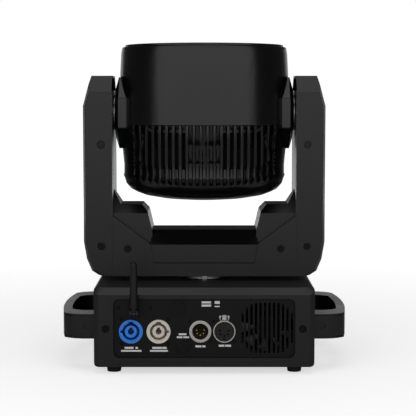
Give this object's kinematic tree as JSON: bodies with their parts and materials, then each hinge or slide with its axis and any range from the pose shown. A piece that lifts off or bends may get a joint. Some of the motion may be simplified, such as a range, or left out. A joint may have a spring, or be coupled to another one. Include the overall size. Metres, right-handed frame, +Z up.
{
  "type": "moving head light",
  "caption": "Moving head wash light: box base with connector panel and side handles, a panning two-arm yoke, and a slotted drum-shaped head that tilts between the arms.",
  "frame": {"origin": "on the pan axis, at the level of the undersides of the feet", "axes": "+Z up along the pan axis; -Y towards the connector panel, +Y towards the display; +X to the right when facing the connector panel; the tilt axis is parallel to X"},
  "size_m": [0.319, 0.2513, 0.3542],
  "materials": {
    "housing_paint": "fine textured charcoal moulding",
    "yoke_paint": "fine textured charcoal moulding",
    "head_plastic": "satin black moulding",
    "panel_black": "matt black powder coat",
    "plate_steel": "black coated sheet steel",
    "foot_rubber": "matt",
    "screw_black": "black oxide steel screw",
    "screw_zinc": "zinc plated screw",
    "inlet_blue": "satin blue moulding",
    "outlet_grey": "satin off-white moulding",
    "contact_brass": "plated contact",
    "nickel": "satin nickel die casting",
    "insert_black": "moulded insert",
    "insert_grey": "moulded insert",
    "trim_black": "moulded trim",
    "antenna_black": "satin moulding",
    "handle_plastic": "satin moulding",
    "screen": "dark clear cover",
    "board_green": "circuit board",
    "supply_metal": "folded sheet",
    "motor_steel": "motor can",
    "machined_alu": "turned",
    "belt_rubber": "toothed belt",
    "shaft_steel": "turned",
    "frame_steel": "folded sheet",
    "lens_glass": "clear",
    "led_white": "white solder mask",
    "sink_black": "black anodised"
  },
  "bodies": {
    "base": {"base_shell": "housing_paint", "base_plate": "plate_steel", "rubber_feet": "foot_rubber", "rear_panel": "panel_black", "connector_screws": "screw_black", "base_screws": "screw_black", "power_inlet": "inlet_blue", "power_outlet": "outlet_grey", "power_contacts": "contact_brass", "data_inlet_shell": "nickel", "data_inlet_insert": "insert_black", "data_inlet_pins": "contact_brass", "data_outlet_shell": "nickel", "data_outlet_insert": "insert_grey", "fuse_holder": "trim_black", "blanking_plug": "trim_black", "antenna_connector": "contact_brass", "base_fan_frame": "trim_black", "left_handle": "handle_plastic", "right_handle": "handle_plastic", "front_panel": "panel_black", "display_window": "screen", "control_board": "board_green", "power_supply": "supply_metal", "pan_motor": "motor_steel", "pan_belt": "belt_rubber", "pan_housing": "machined_alu", "hub_block": "screw_zinc"},
    "release_tab": {"data_release_tab": "nickel"},
    "fuse_drawer": {"fuse_cap": "trim_black"},
    "antenna_elbow": {"antenna_knuckle": "antenna_black"},
    "antenna_rod": {"antenna_whip": "antenna_black"},
    "base_fan": {"base_fan_rotor": "trim_black"},
    "knob": {"menu_knob": "trim_black"},
    "pan_drive": {"pan_motor_pulley": "machined_alu"},
    "yoke": {"pan_shaft": "shaft_steel", "pan_pulley": "machined_alu", "yoke_frame": "frame_steel", "left_arm_cover": "yoke_paint", "right_arm_cover": "yoke_paint", "bridge_rear_cover": "yoke_paint", "bridge_front_cover": "yoke_paint", "yoke_screws": "screw_black", "tilt_bearings": "shaft_steel", "tilt_motor": "motor_steel", "tilt_belt": "belt_rubber"},
    "tilt_drive": {"tilt_motor_pulley": "machined_alu"},
    "head": {"head_lower_shell": "head_plastic", "head_upper_shell": "head_plastic", "front_bezel": "trim_black", "front_lens": "lens_glass", "led_lenses": "lens_glass", "led_board": "led_white", "heat_sink": "sink_black", "head_chassis": "frame_steel", "tilt_bosses": "trim_black", "tilt_shafts": "shaft_steel", "tilt_pulley": "machined_alu", "head_fan_frame": "trim_black"},
    "head_fan": {"head_fan_rotor": "trim_black"}
  },
  "joints": [
    {"name": "pan", "type": "hinge", "parent": "base", "child": "yoke", "pos_m": [0, 0, 0.093], "axis": [0, 0, 1], "range_deg": [-270, 270]},
    {"name": "tilt", "type": "hinge", "parent": "yoke", "child": "head", "pos_m": [0, 0, 0.2785], "axis": [1, 0, 0], "range_deg": [-110, 110]},
    {"name": "pan_motor_turn", "type": "hinge", "parent": "base", "child": "pan_drive", "pos_m": [-0.064, 0.018, 0.063], "axis": [0, 0, 1], "range_deg": [-1081, 1081]},
    {"name": "tilt_motor_turn", "type": "hinge", "parent": "yoke", "child": "tilt_drive", "pos_m": [0.1238, 0, 0.1865], "axis": [1, 0, 0], "range_deg": [-331, 331]},
    {"name": "head_fan_spin", "type": "hinge", "parent": "head", "child": "head_fan", "pos_m": [0, 0, 0.2285], "axis": [0, 0, 1], "continuous": true},
    {"name": "base_fan_spin", "type": "hinge", "parent": "base", "child": "base_fan", "pos_m": [0.0675, -0.0955, 0.0497], "axis": [0, -1, 0], "continuous": true},
    {"name": "menu_knob_turn", "type": "hinge", "parent": "base", "child": "knob", "pos_m": [0.046, 0.112, 0.041], "axis": [0, 1, 0], "continuous": true},
    {"name": "release_tab_press", "type": "slide", "parent": "base", "child": "release_tab", "axis": [0, 1, 0], "range_m": [0, 0.0012], "stiffness_N_per_m": 600},
    {"name": "fuse_cap_turn", "type": "hinge", "parent": "base", "child": "fuse_drawer", "pos_m": [-0.0228, -0.1, 0.0305], "axis": [0, -1, 0], "range_deg": [-90, 0]},
    {"name": "antenna_swivel", "type": "hinge", "parent": "base", "child": "antenna_elbow", "pos_m": [-0.0746, -0.115, 0.0675], "axis": [0, -1, 0], "range_deg": [-90, 90]},
    {"name": "antenna_fold", "type": "hinge", "parent": "antenna_elbow", "child": "antenna_rod", "pos_m": [-0.0746, -0.122, 0.0675], "axis": [1, 0, 0], "range_deg": [0, 90]}
  ],
  "couplings": [
    {"joint": "pan_motor_turn", "follows": "pan", "ratio": 4},
    {"joint": "tilt_motor_turn", "follows": "tilt", "ratio": 3}
  ]
}
